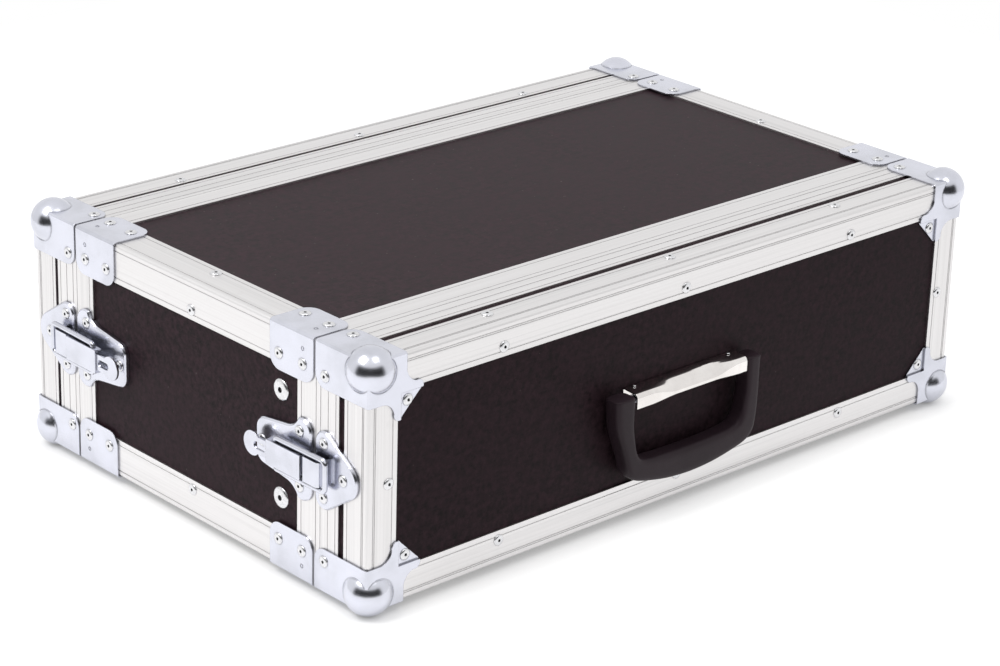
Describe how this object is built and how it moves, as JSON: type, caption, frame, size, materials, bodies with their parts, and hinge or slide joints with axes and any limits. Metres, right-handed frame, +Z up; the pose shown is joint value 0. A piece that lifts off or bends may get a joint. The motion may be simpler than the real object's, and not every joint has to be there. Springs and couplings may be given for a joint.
{
  "type": "rack case",
  "caption": "Flat plywood case with aluminium edges, ball corners, two lift-off lids held by toggle latches, a drop handle and rack rails inside.",
  "frame": {"origin": "on the ground under the middle of the whole object, where its four lower ball corners stand", "axes": "+X along the width, +Y from the front lid to the rear lid, +Z up"},
  "size_m": [0.5524, 0.3564, 0.172],
  "materials": {
    "coated_plywood": "dark brown resin-coated plywood with a fine satin grain",
    "aluminium_profile": "bright drawn aluminium with fine lines along its length",
    "zinc_steel": "bright zinc-plated sheet steel",
    "rail_steel": "satin black coated steel",
    "nickel_sheet": "polished nickel plate",
    "handle_plastic": "matt dark moulded plastic"
  },
  "bodies": {
    "sleeve": {"top_panel": "coated_plywood", "bottom_panel": "coated_plywood", "left_panel": "coated_plywood", "right_panel": "coated_plywood", "edge_profile_top_left": "aluminium_profile", "edge_profile_top_right": "aluminium_profile", "edge_profile_bottom_left": "aluminium_profile", "edge_profile_bottom_right": "aluminium_profile", "front_rim_top": "aluminium_profile", "front_rim_bottom": "aluminium_profile", "front_rim_left": "aluminium_profile", "front_rim_right": "aluminium_profile", "rear_rim_top": "aluminium_profile", "rear_rim_bottom": "aluminium_profile", "rear_rim_left": "aluminium_profile", "rear_rim_right": "aluminium_profile", "front_corner_brackets": "zinc_steel", "rear_corner_brackets": "zinc_steel", "bracket_rivets": "zinc_steel", "edge_rivets": "zinc_steel", "rack_rail_left": "rail_steel", "rack_rail_right": "rail_steel", "rail_rivets": "zinc_steel", "latch_base_front_left": "zinc_steel", "latch_base_front_right": "zinc_steel", "latch_base_rear_left": "zinc_steel", "latch_base_rear_right": "zinc_steel", "latch_pivot_pins": "zinc_steel", "latch_base_rivets": "zinc_steel"},
    "front_lid": {"front_lid_panel": "coated_plywood", "front_lid_walls": "coated_plywood", "front_lid_angle_frame": "aluminium_profile", "front_lid_rim_frame": "aluminium_profile", "front_ball_corners": "zinc_steel", "front_lid_rivets": "zinc_steel", "front_latch_keepers": "zinc_steel", "front_keeper_rivets": "zinc_steel", "handle_bracket": "nickel_sheet", "handle_bracket_rivets": "zinc_steel", "handle_pivot_bar": "zinc_steel"},
    "rear_lid": {"rear_lid_panel": "coated_plywood", "rear_lid_walls": "coated_plywood", "rear_lid_angle_frame": "aluminium_profile", "rear_lid_rim_frame": "aluminium_profile", "rear_ball_corners": "zinc_steel", "rear_lid_rivets": "zinc_steel", "rear_latch_keepers": "zinc_steel", "rear_keeper_rivets": "zinc_steel"},
    "handle": {"handle_grip": "handle_plastic"},
    "lever_front_left": {"latch_lever_front_left": "zinc_steel"},
    "bail_front_left": {"latch_bail_front_left": "zinc_steel"},
    "lever_front_right": {"latch_lever_front_right": "zinc_steel"},
    "bail_front_right": {"latch_bail_front_right": "zinc_steel"},
    "lever_rear_left": {"latch_lever_rear_left": "zinc_steel"},
    "bail_rear_left": {"latch_bail_rear_left": "zinc_steel"},
    "lever_rear_right": {"latch_lever_rear_right": "zinc_steel"},
    "bail_rear_right": {"latch_bail_rear_right": "zinc_steel"}
  },
  "joints": [
    {"name": "front_lid_pull", "type": "slide", "parent": "sleeve", "child": "front_lid", "axis": [0, -1, 0], "range_m": [0, 0.075]},
    {"name": "rear_lid_pull", "type": "slide", "parent": "sleeve", "child": "rear_lid", "axis": [0, 1, 0], "range_m": [0, 0.075]},
    {"name": "handle_swing", "type": "hinge", "parent": "front_lid", "child": "handle", "pos_m": [-0.005, -0.17225, 0.09], "axis": [-1, 0, 0], "range_deg": [0, 95]},
    {"name": "lever_front_left_turn", "type": "hinge", "parent": "sleeve", "child": "lever_front_left", "pos_m": [-0.273, -0.11125, 0.086], "axis": [0, 0, 1], "range_deg": [0, 100]},
    {"name": "bail_front_left_turn", "type": "hinge", "parent": "lever_front_left", "child": "bail_front_left", "pos_m": [-0.2733, -0.08925, 0.086], "axis": [0, 0, -1], "range_deg": [0, 200]},
    {"name": "lever_front_right_turn", "type": "hinge", "parent": "sleeve", "child": "lever_front_right", "pos_m": [0.273, -0.11125, 0.086], "axis": [0, 0, -1], "range_deg": [0, 100]},
    {"name": "bail_front_right_turn", "type": "hinge", "parent": "lever_front_right", "child": "bail_front_right", "pos_m": [0.2733, -0.08925, 0.086], "axis": [0, 0, 1], "range_deg": [0, 200]},
    {"name": "lever_rear_left_turn", "type": "hinge", "parent": "sleeve", "child": "lever_rear_left", "pos_m": [-0.273, 0.12075, 0.086], "axis": [0, 0, -1], "range_deg": [0, 100]},
    {"name": "bail_rear_left_turn", "type": "hinge", "parent": "lever_rear_left", "child": "bail_rear_left", "pos_m": [-0.2733, 0.09875, 0.086], "axis": [0, 0, 1], "range_deg": [0, 200]},
    {"name": "lever_rear_right_turn", "type": "hinge", "parent": "sleeve", "child": "lever_rear_right", "pos_m": [0.273, 0.12075, 0.086], "axis": [0, 0, 1], "range_deg": [0, 100]},
    {"name": "bail_rear_right_turn", "type": "hinge", "parent": "lever_rear_right", "child": "bail_rear_right", "pos_m": [0.2733, 0.09875, 0.086], "axis": [0, 0, -1], "range_deg": [0, 200]}
  ],
  "couplings": [
    {"joint": "lever_front_left_turn", "follows": "front_lid_pull", "rad_per_m": 23.27},
    {"joint": "bail_front_left_turn", "follows": "front_lid_pull", "rad_per_m": 46.54},
    {"joint": "lever_front_right_turn", "follows": "front_lid_pull", "rad_per_m": 23.27},
    {"joint": "bail_front_right_turn", "follows": "front_lid_pull", "rad_per_m": 46.54},
    {"joint": "lever_rear_left_turn", "follows": "rear_lid_pull", "rad_per_m": 23.27},
    {"joint": "bail_rear_left_turn", "follows": "rear_lid_pull", "rad_per_m": 46.54},
    {"joint": "lever_rear_right_turn", "follows": "rear_lid_pull", "rad_per_m": 23.27},
    {"joint": "bail_rear_right_turn", "follows": "rear_lid_pull", "rad_per_m": 46.54}
  ]
}
